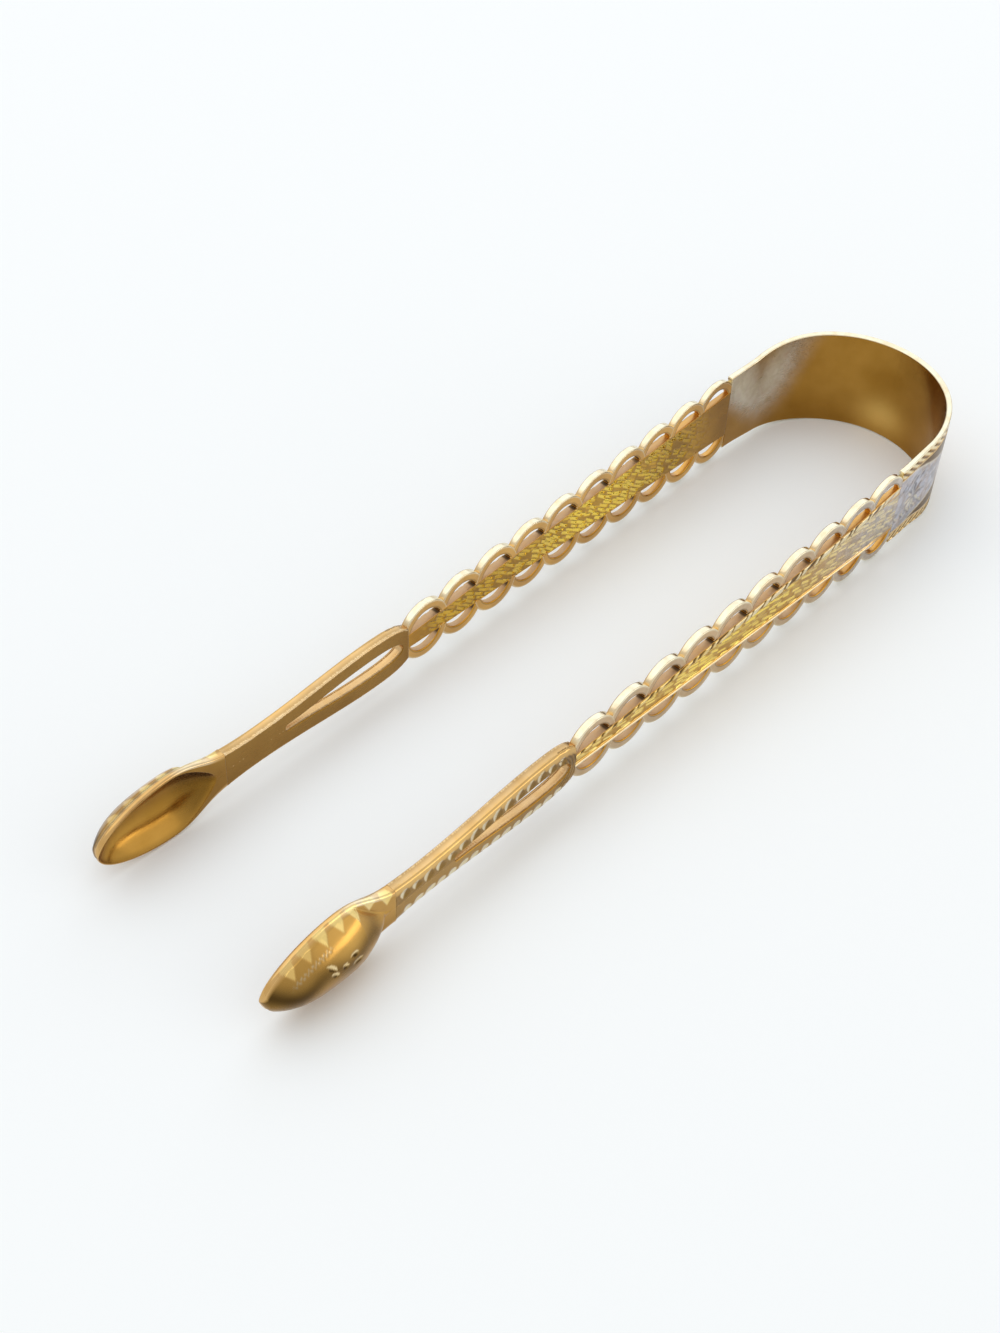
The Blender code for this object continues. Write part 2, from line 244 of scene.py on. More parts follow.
def silverGilt(name, look):
    # Silver-gilt: wrought silver washed with gold and burnished. It shows a warm mirror gloss broken by fine
    # hairlines, pale silver where it is rubbed, a brown film in the cuts and dull walls in the openings. Its
    # pale, brown and bright colours also serve as painted highlights, painted shade and painted glints.
    made = bpy.data.materials.new(name)
    made.use_nodes = True
    tree = made.node_tree
    tree.nodes.clear()
    where = addNode(tree, "TexCoord")
    rub, film, sawn, toned, bright = (addNode(tree, "Attribute", attribute_name=tag) for tag in tagNames)

    # gold that drifts in tone over about a centimetre
    cloud = addNode(tree, "TexNoise", {"Vector": (where, "Object"), "Scale": 1000 / look["cloud"],
                                       "Detail": 4.0})
    drift = addNode(tree, "MapRange", {"Value": (cloud, "Fac"), "From Min": 0.35, "From Max": 0.68})
    gold = addNode(tree, "Mix", {"Factor": (drift, "Result"), "A": toLinear(look["deepGold"]),
                                 "B": toLinear(look["gold"])}, data_type="RGBA")
    # bare silver in pale and dark patches
    mottle = addNode(tree, "TexNoise", {"Vector": (where, "Object"), "Scale": 1000 / look["mottle"],
                                        "Detail": 3.0, "Distortion": 0.8})
    patch = addNode(tree, "MapRange", {"Value": (mottle, "Fac"), "From Min": 0.4, "From Max": 0.62})
    silver = addNode(tree, "Mix", {"Factor": (patch, "Result"), "A": toLinear(look["toned"]),
                                   "B": toLinear(look["tonedPale"])}, data_type="RGBA")
    # ragged wear: sawn, toned and rubbed metal, and the painted highlights, are broken up by millimetre
    # specks
    speck = addNode(tree, "TexNoise", {"Vector": (where, "Object"), "Scale": 1000 / look["speck"],
                                       "Detail": 5.0})
    ragged = addNode(tree, "MapRange", {"Value": (speck, "Fac"), "From Min": 0.3, "From Max": 0.6,
                                        "To Min": 0.72, "To Max": 1.0})
    layers = (
        (sawn, (ragged, "Result"), toLinear(look["sawn"])),
        (toned, (ragged, "Result"), (silver, "Result")),
        (rub, (ragged, "Result"), toLinear(look["rubbedAndHighlight"])),
        (bright, 1.0, toLinear(look["bright"])),
        (film, 1.0, toLinear(look["film"])),
    )
    colour = gold
    for tag, worn, tint in layers:
        share = addNode(tree, "Math", {0: (tag, "Fac"), 1: worn}, operation="MULTIPLY")
        colour = addNode(tree, "Mix", {"Factor": (share, "Value"), "A": (colour, "Result"), "B": tint},
                         data_type="RGBA")
    # hairlines from burnishing along the strap, drawn coarser than real ones so that they show
    stretch = addNode(tree, "Mapping", {"Vector": (where, "Object"), "Scale": (0.08, 1.0, 1.0)})
    hair = addNode(tree, "TexNoise", {"Vector": (stretch, "Vector"), "Scale": 1000 / look["hairline"],
                                      "Detail": 3.0})
    gloss = addNode(tree, "MapRange", {"Value": (hair, "Fac"), "From Min": 0.3, "From Max": 0.75,
                                       "To Min": look["roughness"] - look["roughnessVary"],
                                       "To Max": look["roughness"] + look["roughnessVary"]})
    dull = (gloss, "Result")
    for tag, key in ((sawn, "sawnRoughness"), (toned, "tonedRoughness"), (film, "filmAndShadeRoughness")):
        added = addNode(tree, "Math", {0: (tag, "Fac"), 1: look[key], 2: dull}, operation="MULTIPLY_ADD")
        dull = (added, "Value")
    bump = addNode(tree, "Bump", {"Height": (hair, "Fac"), "Strength": look["hairlineBump"],
                                  "Distance": look["hairlineDeep"] * mm})
    shader = addNode(tree, "BsdfPrincipled", {"Base Color": (colour, "Result"), "Metallic": 1.0,
                                              "Roughness": dull, "Normal": (bump, "Normal")})
    addNode(tree, "OutputMaterial", {"Surface": (shader, "BSDF")})
    return made


gilt = silverGilt("burnished_silver_gilt", giltLook)
giltChased = silverGilt("chased_silver_gilt", chasedLook)
print("materials made")

bow = {
    "radius": 14.4, "centreX": 41.0, "legX": 33.85,
    "thickTop": 1.0, "thickLeg": 0.8,
    "thickEnd": 0.95, "lift": 0.15, "seatRun": (34.5, 40.5),     # the leg's end meets the arm flush
    "width": 15.86, "fullX": 53.5, "legHalf": 6.4, "legStart": 33.75,
    "corner": 0.2, "edgeBand": 2.0, "bevel": 0.2, "bevelWide": 0.5, "steps": 300,
    "hammer": 0.014,     # unevenness left on the inner face
    "featherPitch": 1.6, "featherSlant": 1.5, "featherSteep": 0.25, "featherDeep": 0.13, "featherTo": 1.55,
    "lineAt": 1.75, "lineWide": 0.1, "lineDeep": 0.07, "pointWide": 0.14, "pointTo": (50, 54),
    "pointFrom": 36.0, "pointSlope": 0.24, "pointHalf": 4.4,     # the long pointed panel on each leg
    "flower": (38.4, -0.4), "petals": 8, "petalAt": 1.5, "petal": (2.3, 1.0, 0.16),     # length, width, depth
    "sprigs": 9, "sprigFrom": 34.3, "sprigStep": 0.8, "sprigAt": 2.6, "sprigLean": 40,
    "sprig": (2.0, 0.9, 0.14),
    # shares of each finish and of the painted light and shade
    "faceRub": 0.1, "cutPale": 0.75, "leafHighlight": 0.5, "shoulderRub": 0.75,
    "spandrelShade": 0.85, "featherFilm": 0.7, "leafShade": 0.35, "insideShade": 0.38,
    "panelToned": 0.9, "shoulderToned": 0.95, "hookBright": 0.25, "crownBright": 0.4,
    # where the finish and the painted light change: from and to, or a middle and its spread
    "panelTo": (47, 55), "spandrelTo": (50, 56), "shoulderFrom": (33.0, 39.0), "shoulderTo": (42.5, 49.5),
    "shoulderZ": (-8, 2), "crownY": (1.0, 4.2), "crownZ": (-4.6, 3.2),
}


def bowHalfWidth(x):
    # the strap's half width: an S-shaped flare from the leg to the full width
    run = bezierRun(((bow["legStart"], bow["legHalf"]), (bow["legStart"] + 6.75, bow["legHalf"] + 0.05),
                     (bow["fullX"] - 6.8, bow["width"] / 2), (bow["fullX"], bow["width"] / 2)), 60)
    return np.interp(x, run[:, 0], run[:, 1])


def legLeaves():
    # leaf cuts on a leg: a flower of petals round its middle, and sprigs leaning off the middle line in turn
    midX, midZ = bow["flower"]
    long, wide, deep = bow["petal"]
    turns = [2 * math.pi * k / bow["petals"] for k in range(bow["petals"])]
    petals = [(midX + bow["petalAt"] * math.cos(t), midZ + bow["petalAt"] * math.sin(t),
               long, wide, math.degrees(t), deep) for t in turns]
    long, wide, deep = bow["sprig"]
    signs = [1 if k % 2 else -1 for k in range(bow["sprigs"])]
    sprigs = [(bow["sprigFrom"] + bow["sprigStep"] * k, bow["sprigAt"] * sign,
               long, wide, bow["sprigLean"] * sign, deep) for k, sign in enumerate(signs)]
    return petals + sprigs


def bowCuts(s, x, z, inset):
    # Feather edge: slanted hooks, a saw with one steep side, along both borders, with a line inside it. Each
    # leg has leaf cuts and a line round its pointed panel, where arch is 0: the size of z, rounded at the
    # middle, less the panel's half width, which falls in a straight line towards the top of the bow.
    phase = (s + bow["featherSlant"] * inset) / bow["featherPitch"]
    f = phase - np.floor(phase)
    steep = bow["featherSteep"]
    feather = np.where(f < steep, f / steep, (1 - f) / (1 - steep))
    border = smooth(0.15, 0.3, inset) * (1 - smooth(bow["featherTo"] - 0.2, bow["featherTo"], inset))
    inside = smooth(bow["lineAt"], bow["lineAt"] + 0.1, inset)
    arch = np.sqrt(z ** 2 + 0.5) - 0.7 + bow["pointSlope"] * (x - bow["pointFrom"]) - bow["pointHalf"]
    pointLine = inside * (1 - smooth(*bow["pointTo"], x)) * bell(arch, 0.0, bow["pointWide"])
    line = np.maximum(bell(inset, bow["lineAt"], bow["lineWide"]), pointLine)
    leaves, tilt = graverCuts(x, z, legLeaves())
    return {"feather": feather, "border": border, "inside": inside, "arch": arch, "line": line,
            "leaves": leaves * inside, "tilt": tilt}


def bowWear(cuts, inner, outer, x, y, z):
    # Silver on the pointed panels and the inner shoulders. Painted shade beside the panels, as a dark
    # reflection, and over the inside of the bow, apart from a painted glow under the crown. Film between the
    # hooks. Lines and hooks are rubbed pale, the edges pale as wear and as a painted highlight, and each leaf
    # has a painted highlight on one facet and painted shade on the other.
    beyond = smooth(0.0, 0.4, cuts["arch"])
    # painted shade: the spandrels beside each pointed panel are darkened as a dark reflection
    spandrel = cuts["inside"] * beyond * (1 - smooth(*bow["spandrelTo"], x))
    field = cuts["inside"] * (1 - beyond) * (1 - smooth(*bow["panelTo"], x))
    shoulder = (1 - smooth(*bow["shoulderTo"], x - 0.28 * z)) * smooth(*bow["shoulderFrom"], x + 0.9 * z)
    shoulder = inner * shoulder * smooth(*bow["shoulderZ"], z)
    # a painted glow inside, under the crown: less film and a brighter tint
    paintedGlow = inner * bell(y, *bow["crownY"]) * bell(z, *bow["crownZ"])
    hook = cuts["border"] * smooth(0.35, 0.75, cuts["feather"])
    gap = cuts["border"] * (1 - smooth(0.2, 0.6, cuts["feather"]))
    leaf = smooth(0.004, 0.03, cuts["leaves"])
    # light marks the leaf facet given a painted highlight; the other facet gets painted shade
    light = leaf * smooth(-0.15, 0.15, cuts["tilt"])
    rub = bow["faceRub"] + bow["cutPale"] * np.maximum(cuts["line"], hook) + bow["leafHighlight"] * light
    # the strap's edges are fully pale, as wear and as a painted highlight
    rub = np.where(outer, rub, np.where(inner, bow["shoulderRub"] * shoulder, 1.0))
    film = np.maximum(bow["spandrelShade"] * spandrel * (1 - cuts["line"]), bow["featherFilm"] * gap)
    film = outer * (film + bow["leafShade"] * (leaf - light))
    # painted shade over the inside of the bow
    film = film + inner * bow["insideShade"] * (1 - shoulder) * (1 - paintedGlow)
    toned = np.where(outer, bow["panelToned"] * field, bow["shoulderToned"] * shoulder)
    bright = outer * bow["hookBright"] * hook + bow["crownBright"] * paintedGlow
    return {"rub": rub, "film": film, "toned": toned, "bright": bright}


def bowHalf(side):
    # A rounded strap section carried along half of the U: a quarter circle from the top, then a straight leg.
    # s is the way along the inner face and n the way out from it. Short first steps keep the shading even
    # where the halves meet.
    quarter = bow["radius"] * math.pi / 2
    end = quarter + bow["centreX"] - bow["legX"] + placing["lap"]
    s = np.concatenate([[0.0, 0.01, 0.03, 0.07], np.linspace(0.13, end, bow["steps"])])[:, None]
    turn = np.minimum(s / bow["radius"], math.pi / 2)
    leg = np.maximum(s - quarter, 0.0)
    ring = ringOf(bow["corner"], bow["edgeBand"], edgeSteps=20, midSteps=44, thinSteps=4, cornerSteps=4)
    inner, outer = ring["part"] == 0, ring["part"] == 4
    seat = 1 - smooth(*bow["seatRun"], bow["centreX"] - leg)
    thick = bow["thickLeg"] + (bow["thickTop"] - bow["thickLeg"]) * np.cos(turn) ** 2
    thick = thick + (bow["thickEnd"] - bow["thickLeg"]) * seat
    n = ring["c"] * thick + ring["d"] + bow["lift"] * seat
    x = bow["centreX"] + (bow["radius"] + n) * np.cos(turn) - leg
    half = bowHalfWidth(x)
    z = ring["a"] * half + ring["b"]
    inset = half - np.abs(z)
    cuts = bowCuts(s, x, z, inset)
    sunk = bow["bevel"] * np.clip(1 - inset / bow["bevelWide"], 0, 1)
    sunk = sunk + bow["featherDeep"] * cuts["feather"] * cuts["border"] + bow["lineDeep"] * cuts["line"]
    n = n - outer * (sunk + cuts["leaves"])
    n = n + inner * bow["hammer"] * (np.sin(0.9 * s + 0.35 * z) + np.sin(0.41 * s - 0.8 * z + 1.0))
    x = bow["centreX"] + (bow["radius"] + n) * np.cos(turn) - leg
    y = side * (bow["radius"] + n) * np.sin(turn)
    store = newStore()
    addTube(store, np.stack([x, y, z], axis=-1), bowWear(cuts, inner, outer, x, y, z))
    hand = handOf(side)
    start = toRow(np.array([bow["centreX"] + bow["radius"], 0.0, 0.0]))
    finish = toRow(np.array([bow["legX"], side * bow["radius"], 0.0]))
    return makePiece("bow_" + hand + "_half", store, gilt, "bow_spring",
                     bend=("bow", hand + "_arm", tuple(start), tuple(finish)))


for side in (1, -1):
    bowHalf(side)


def onArm(x, n, z, side, spotX, spotY, turn):
    # x along the piece, n outwards from its inner face, z across, turned about z and moved to its seat
    c, s = math.cos(side * turn), math.sin(side * turn)
    x, n, z = np.broadcast_arrays(x, n, z)
    return np.stack([x * c - side * n * s + spotX, x * s + side * n * c + side * spotY, z], axis=-1)


panel = {
    "lobes": 10, "pitch": 6.75, "rise": 1.7,
    "halfAtShank": 2.65, "halfAtBow": 5.45,
    "thick": 1.1, "thickAtBow": 0.95, "thinFrom": 22.0, "thinTo": 34.0,
    "rim": 1.25, "rimCorner": 0.17, "rimIn": 0.3,     # the rims' ends run this far into the band
    "drop": 1.55, "rib": 0.1, "bandCorner": 0.06, "bandGrow": 0.02,
    "bandSteps": 560, "lobeSteps": 32,
    "bead": 0.15, "beadAt": 0.28, "beadHalf": 0.26,
    "dashPitch": 2.1, "dashRow": 1.05, "dashRowShare": 0.45,     # at most this share of the half width
    # layers of strokes, each with its slant in degrees, length, width and seed
    "gougesIn": ((-30, 2.1, 0.56, 1), (-36, 2.5, 0.62, 4)), "gougeDeep": 0.28,
    "gougesOut": ((-9, 2.9, 0.5, 9), (-14, 2.3, 0.62, 13)), "hatchDeep": 0.1, "hatchStroke": 1.6,
    # where the finish and the painted light change along the arm: from and to, or a middle and its spread
    "flushRun": (26, 33), "silverRun": (8, 30), "paleRun": (-16, 4), "endRun": (22, 33),
    "glintOut": (-2, 16), "glintIn": (4, 14), "spreadFrom": (-33, -26), "spreadTo": (20, 32),
    "cornerTo": (8, 20), "sawnTo": (10, 24), "rimSilver": (10, 28), "rimGiltTo": (10, 22),
    # shares of each finish and of the painted light and shade
    "beadRubAndHighlight": 0.95, "silverRub": 0.2, "strokeHighlight": 0.55, "scoopHighlight": 0.5,
    "fieldBright": 0.8, "lineBright": 0.8,
    "fieldFilm": 0.2, "rowFilm": 0.8, "insideShade": 0.22, "groundShade": 0.3, "endShade": 0.25,
    "cornerShade": 0.75, "fieldToned": 0.8, "rowToned": 0.6,
}
panel["length"] = panel["lobes"] * panel["pitch"]
panel["slope"] = (panel["halfAtBow"] - panel["halfAtShank"]) / panel["length"]
panel["radius"] = (panel["pitch"] ** 2 / 4 + panel["rise"] ** 2) / (2 * panel["rise"])
panel["toe"] = math.atan((placing["armAtBow"] - placing["armAtShank"]) / panel["length"])


def notchHalf(x):
    # half width at the notches between scallops, a straight taper
    return panel["halfAtShank"] + panel["slope"] * (x + panel["length"] / 2)


def gouges(x, z, layers):
    # Layers of slanted strokes. In each, along runs down the slant and over across it; rows waver and are
    # staggered by chance, and a stroke is a scoop eased off at its ends and sides. ramp deepens across each
    # stroke, so that its facet leans up to the light.
    best = np.zeros(np.broadcast(x, z).shape)
    ramp = np.zeros(best.shape)
    for lean, long, wide, seed in layers:
        c, s = math.cos(math.radians(lean)), math.sin(math.radians(lean))
        along = (x * c + z * s) / long
        over = (z * c - x * s) / wide + 0.16 * np.sin(2.3 * along + seed)
        row = np.floor(over)
        along = along + chance(row, 0 * row, seed)
        cell = np.floor(along)
        luck = chance(cell, row, seed + 1)
        size = 0.7 + 0.3 * chance(cell, row, seed + 2)
        u = (2 * (along - cell) - 1) / size
        v = (2 * (over - row) - 1) / size
        scoop = smooth(0.0, 0.6, 1 - u ** 2) * smooth(0.0, 0.7, 1 - v ** 2)
        scoop = scoop * smooth(0.2, 0.8, luck)
        ramp = np.where(scoop > best, scoop * (0.5 + 0.5 * v), ramp)
        best = np.maximum(best, scoop)
    return best, ramp


def bandCuts(x, z, half):
    # Outer face: a bead, which is a parabola, along the lower border; along the upper one a row of dashes, a
    # saw of x cut off at a height that chance varies, with a line under it; lengthwise strokes on the field
    # between. Inner face: slanted strokes, which spread ends before both ends of the arm. flush takes the
    # outer face down to plain metal at the bow.
    inset = half - np.abs(z)
    upper = z > 0
    bead = np.clip(1 - ((inset - panel["beadAt"]) / panel["beadHalf"]) ** 2, 0, None) * ~upper
    rowWide = np.minimum(panel["dashRow"], panel["dashRowShare"] * half)
    phase = x / panel["dashPitch"] + 0.5 * inset + 0.2 * np.sin(1.7 * x) + 0.15 * np.sin(0.63 * x)
    cell = np.round(phase)
    uneven = 0.55 * (chance(cell, 0 * cell, 6) - 0.5)
    row = upper * smooth(0.0, 0.12, inset) * (1 - smooth(0.85, 1.0, inset / rowWide))
    dash = row * (1 - smooth(0.5, 0.68, saw(phase) + uneven))
    line = upper * bell(inset, rowWide + 0.1, 0.09)
    field = np.where(upper, smooth(rowWide + 0.16, rowWide + 0.26, inset), smooth(0.5, 0.6, inset))
    stroke, strokeRamp = gouges(x, z, panel["gougesOut"])
    scoop, scoopRamp = gouges(x, z, panel["gougesIn"])
    spread = smooth(0.05, 0.25, inset) * smooth(*panel["spreadFrom"], x) * (1 - smooth(*panel["spreadTo"], x))
    flush = 1 - smooth(*panel["flushRun"], x)
    return {"bead": bead, "row": row, "dash": dash, "line": line, "field": field, "stroke": stroke,
            "strokeRamp": strokeRamp, "scoop": scoop, "scoopRamp": scoopRamp, "spread": spread,
            "flush": flush}


def bandWear(cuts, part, x):
    # Strokes get painted glints, brightest half way along, and so do the scoops inside; the bead is rubbed
    # pale and painted as a highlight. Towards the bow the outer face is worn to toned silver. The inner face
    # has painted shade away from its middle, by the bow and between the scoops. The walls of the openings are
    # dull, with a painted shadow in one corner of each.
    inner, outer, wall = part == 0, part == 4, (part == 2) | (part == 6)
    field, stroke, dash, spread, scoop = (cuts[key] for key in ("field", "stroke", "dash", "spread", "scoop"))
    gap = cuts["row"] - dash
    silver = smooth(*panel["silverRun"], x)
    pale = smooth(*panel["paleRun"], x)
    # painted glints peak half way along the arm, outside and inside
    glintOut = bell(x, *panel["glintOut"])
    glintIn = bell(x, *panel["glintIn"])
    # the bead is rubbed pale and painted as a highlight; strokes and scoops are paled as painted glints
    rub = panel["beadRubAndHighlight"] * cuts["bead"] * cuts["flush"] + dash * (0.6 + 0.4 * pale)
    rub = outer * (rub + field * (panel["silverRub"] * silver + panel["strokeHighlight"] * stroke))
    rub = rub + inner * panel["scoopHighlight"] * spread * smooth(0.6, 1.0, scoop) * glintIn
    bright = field * (0.15 + 0.85 * stroke) * (0.55 + 0.45 * glintOut) * (1 - 0.6 * silver)
    bright = panel["fieldBright"] * bright + panel["lineBright"] * cuts["line"] * cuts["flush"]
    bright = outer * (bright + dash * (0.4 - 0.3 * pale))
    bright = bright + inner * spread * (0.2 + 0.8 * smooth(0.0, 0.6, scoop)) * (0.4 + 0.6 * glintIn)
    film = panel["fieldFilm"] * field * (1 - stroke) * (1 - 0.5 * silver)
    film = film + panel["rowFilm"] * gap * cuts["flush"]
    # painted shade on the inner face: away from its middle, by the bow and between the scoops
    darkIn = panel["insideShade"] * (1 - glintIn) + panel["endShade"] * smooth(*panel["endRun"], x)
    darkIn = darkIn + panel["groundShade"] * spread * (1 - smooth(0.0, 0.2, scoop))
    place = (x + panel["length"] / 2) / panel["pitch"]
    # painted shadow in one corner of each opening's wall
    corner = smooth(0.8, 0.85, place - np.floor(place)) * (1 - smooth(*panel["cornerTo"], x))
    film = outer * film + inner * darkIn + wall * panel["cornerShade"] * corner
    toned = panel["fieldToned"] * field * (1 - 0.3 * stroke) + panel["rowToned"] * gap
    sawn = wall * (1 - 0.6 * smooth(*panel["sawnTo"], x))
    return {"rub": rub, "film": film, "sawn": sawn, "toned": outer * silver * toned, "bright": bright}


def bandGrid():
    # a rounded rectangle carried along the arm, raised outside by beads and dashes and sunk by strokes
    reach = panel["length"] / 2 + placing["lap"]
    x = np.linspace(-reach, reach, panel["bandSteps"] + 1)[:, None]
    half = notchHalf(x) - panel["drop"] + panel["bandGrow"]
    ring = ringOf(panel["bandCorner"], 0.8, edgeSteps=8, midSteps=38, thinSteps=4, cornerSteps=2)
    z = ring["a"] * half + ring["b"]
    cuts = bandCuts(x, z, half)
    ribbed = panel["thick"] + panel["rib"]
    thick = ribbed + (panel["thickAtBow"] - ribbed) * smooth(panel["thinFrom"], reach, x)
    raised = panel["bead"] * (cuts["bead"] + cuts["dash"])
    sunk = panel["hatchDeep"] * cuts["field"] * (1 + panel["hatchStroke"] * cuts["strokeRamp"])
    n = ring["c"] * thick + ring["d"] + (ring["part"] == 4) * cuts["flush"] * (raised - sunk)
    n = n + (ring["part"] == 0) * panel["gougeDeep"] * cuts["spread"] * cuts["scoopRamp"]
    return x, n, z, bandWear(cuts, ring["part"], x)


def rimWear(side, part, across, turn, x):
    # The crest is rubbed pale, as wear and as a painted highlight, and the corner towards the right hand gets
    # a painted highlight; the corner towards the left is worn to silver. The sawn wall is dull, with a
    # painted shadow at one end. Towards the bow the outer face turns to silver too.
    front = part == (1 if side > 0 else 3)
    back = part == (3 if side > 0 else 1)
    face, outer, wall = (part == 0) | (part == 4), part == 4, part == 6
    silver = smooth(*panel["rimSilver"], x)
    gilded = 1 - smooth(*panel["rimGiltTo"], x)
    crest = smooth(-0.8, -0.45, turn)
    # the crest gets wear and a painted highlight, the corner towards the right hand a painted highlight
    rub = (part == 2) * crest + front * (0.3 + 0.7 * crest) + back * 0.35 * crest
    rub = rub + (face & (across > 0.3)) * 0.45 + (part == 0) * 0.15 + outer * 0.3
    # painted shadow at one end of the sawn wall
    film = wall * panel["cornerShade"] * smooth(0.58, 0.68, turn) * gilded
    film = film + (face & (across < -0.3)) * 0.5 + outer * 0.08
    toned = back * 0.85 * smooth(-0.6, -0.1, turn) + outer * (0.2 + 0.5 * silver)
    sawn = wall * (0.3 + 0.7 * gilded) + outer * 0.35 * (1 - 0.6 * silver)
    return {"rub": rub, "film": film, "toned": toned, "sawn": sawn}


def rimGrids(side):
    # One bar per scallop, a rounded section carried along an arc about the scallop's centre. Both ends run
    # into the band, so each arc closes its pierced opening.
    ring = ringOf(panel["rimCorner"], 0.35, edgeSteps=1, midSteps=4, thinSteps=4, cornerSteps=4)
    lobe = np.arange(panel["lobes"])[:, None, None]
    middle = (lobe + 0.5) * panel["pitch"] - panel["length"] / 2
    centre = panel["rise"] - panel["radius"]
    mean = panel["radius"] - panel["rim"] / 2
    reach = math.acos((-panel["drop"] - panel["rimIn"] - centre) / mean)
    turn = np.linspace(-1.0, 1.0, panel["lobeSteps"] + 1)[None, :, None]
    across = ring["a"] * panel["rim"] / 2 + ring["b"]
    x = middle + (mean + across) * np.sin(turn * reach)
    z = notchHalf(middle) + centre + (mean + across) * np.cos(turn * reach) + panel["slope"] * (x - middle)
    thinned = smooth(panel["thinFrom"], panel["thinTo"], x)
    thick = panel["thick"] + (panel["thickAtBow"] - panel["thick"]) * thinned
    step = 0.012 * (lobe % 2)     # keeps neighbours, and the band, off one plane
    n = ring["c"] * (thick - 0.04 - step) + ring["d"] + 0.02 + step / 2
    tags = rimWear(side, ring["part"], across, turn, x)
    x, n, z = np.broadcast_arrays(x, n, z)
    return x, n, z, {tag: np.broadcast_to(values, x.shape) for tag, values in tags.items()}


def piercedArm(side):
    # the band and, on both its borders, the row of rims, set at the arm's toe-in
    place = (0.0, (placing["armAtBow"] + placing["armAtShank"]) / 2, panel["toe"])
    store = newStore()
    x, n, z, tags = bandGrid()
    addTube(store, onArm(x, n, z, side, *place), tags)
    x, n, z, tags = rimGrids(side)
    for lobe in range(panel["lobes"]):
        own = {tag: values[lobe] for tag, values in tags.items()}
        for flip in (1, -1):
            addTube(store, onArm(x[lobe], n[lobe], flip * z[lobe], side, *place), own)
    hand = handOf(side)
    return makePiece(hand + "_scalloped_arm", store, giltChased, hand + "_pierced_arm", body=hand + "_arm")


for side in (1, -1):
    piercedArm(side)

shank = {
    "thick": 1.6, "length": 30.4, "seam": 0.1,
    "neckHalf": 2.65, "loopHalf": 3.75, "loopX": 6.0,
    "waistHalf": 2.52, "waistX": 25.6, "heelHalf": 2.8,
    "slotHalf": 1.5, "slotStart": 0.9, "slotWideX": 6.0, "slotEnd": 21.0, "slotTail": 0.5,
    "edge": 0.2, "faceEdge": 0.5, "faceRound": 0.9, "slotEdge": 0.14, "steps": 240,
    "filePitch": 0.36, "fileDeep": 0.03,     # file marks on the slot's walls
    "tickPitch": 1.9, "tickFrom": 2.4, "tick": (1.9, 1.9, 62, 0.14),     # length, width, lean, depth
    "nickPitch": 1.83, "nickFrom": 3.0, "nick": (1.9, 1.5, -20, 0.16), "nickIn": 0.8,
    "arcPitch": 0.5, "arcDeep": 0.06, "arcX": -4.0,
    # shares of each finish and of the painted light and shade
    "partRub": {1: 0.5, 2: 0.3, 3: 0.2, 4: 0.05, 6: 0.2}, "cutPale": 0.9,
    "upperFilm": 0.55, "lowerDark": 0.4, "arcFilm": 0.3, "insideShade": 0.54, "slotFilm": 0.3,
    "sideShade": 0.34, "cutShade": 0.65, "slotSawn": 0.3, "faceBright": 0.1,
}
shank["toTip"] = -panel["length"] / 2 - placing["tipX"]
shank["flare"] = math.atan((placing["gapAtTip"] - placing["gapAtShank"]) / shank["toTip"])


def shankHalf(x):
    # half width: swelling from the arm into the loop, tapering to the waist and easing out to the heel
    loop, loopX = shank["loopHalf"], shank["loopX"]
    waist, waistX = shank["waistHalf"], shank["waistX"]
    heel, end = shank["heelHalf"], shank["length"]
    runs = [
        bezierRun(((0, shank["neckHalf"]), (-1.2, loop * 0.93), (-loopX * 0.45, loop), (-loopX, loop)), 60),
        bezierRun(((-loopX, loop), (-loopX * 2, loop), (-waistX * 0.72, waist), (-waistX, waist)), 60),
        bezierRun(((-waistX, waist), (-waistX - 1.6, waist), (-end + 1.4, heel - 0.18), (-end, heel)), 30),
    ]
    return heightOver(runs, x)


def slotHalf(x):
    # half height of the slot: a round crown by the arm, a long taper and a blunt tail
    start, wide, end = shank["slotStart"], shank["slotWideX"], shank["slotEnd"]
    high, tail = shank["slotHalf"], shank["slotTail"]
    crown = bezierRun(((-start, 0), (-start, high * 0.75), (-wide * 0.5, high), (-wide, high)), 80)
    taper = bezierRun(((-wide, high), (-wide * 2.1, high),
                       (-end * 0.75, tail * 1.2), (-end + tail, tail)), 80)
    blunt = bezierRun(((-end + tail, tail), (-end + 0.45 * tail, tail), (-end, 0.55 * tail), (-end, 0)), 40)
    return np.where((x < -start) & (x > -end), heightOver([crown, taper, blunt], x), 0.0)


